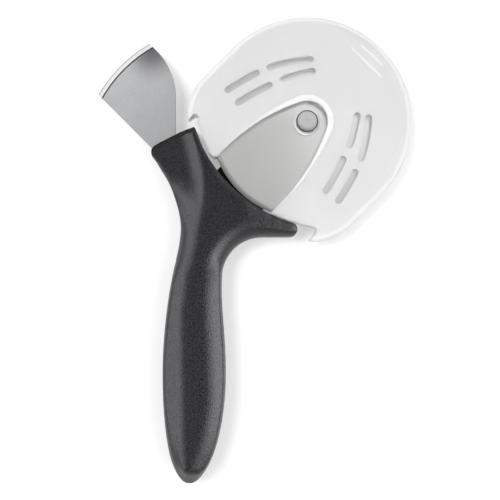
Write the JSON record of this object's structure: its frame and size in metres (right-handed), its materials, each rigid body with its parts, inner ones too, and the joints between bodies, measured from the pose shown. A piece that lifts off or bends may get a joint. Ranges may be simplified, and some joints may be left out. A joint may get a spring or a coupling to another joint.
{
  "type": "pizza cutter",
  "caption": "Hand pizza cutter with a soft black handle, a riveted steel cutting wheel in a slide-off translucent guard, and a flared steel crust blade on the fork beside it.",
  "frame": {"origin": "centre of the part's box in plan, at the flat back it lies on", "axes": "+Y from the end of the grip towards the wheel, +X towards the wheel's side, +Z out of the front"},
  "size_m": [0.1406, 0.2088, 0.021],
  "materials": {
    "soft_grip": "matte with a fine grain",
    "hard_core": "matte",
    "satin_steel": "satin",
    "plain_steel": "smooth",
    "pale_plastic": "smooth",
    "guard_plastic": "frosted, lets light through"
  },
  "bodies": {
    "handle": {"grip_skin": "soft_grip", "handle_core": "hard_core", "crust_blade": "satin_steel", "tang_pin_outer": "plain_steel", "tang_pin_inner": "plain_steel", "axle_rivet": "plain_steel", "rear_spacer": "pale_plastic", "axle_sleeve": "plain_steel", "rivet_burr": "plain_steel"},
    "wheel": {"cutting_wheel": "satin_steel", "wheel_bush": "pale_plastic"},
    "guard": {"guard_front_shell": "guard_plastic", "guard_rear_shell": "guard_plastic"}
  },
  "joints": [
    {"name": "wheel_spin", "type": "hinge", "parent": "handle", "child": "wheel", "pos_m": [0.02335, 0.05749, 0.0105], "axis": [0, 0, 1], "continuous": true},
    {"name": "guard_slide", "type": "slide", "parent": "handle", "child": "guard", "axis": [0.7071, 0.7071, 0], "range_m": [0, 0.09]}
  ]
}
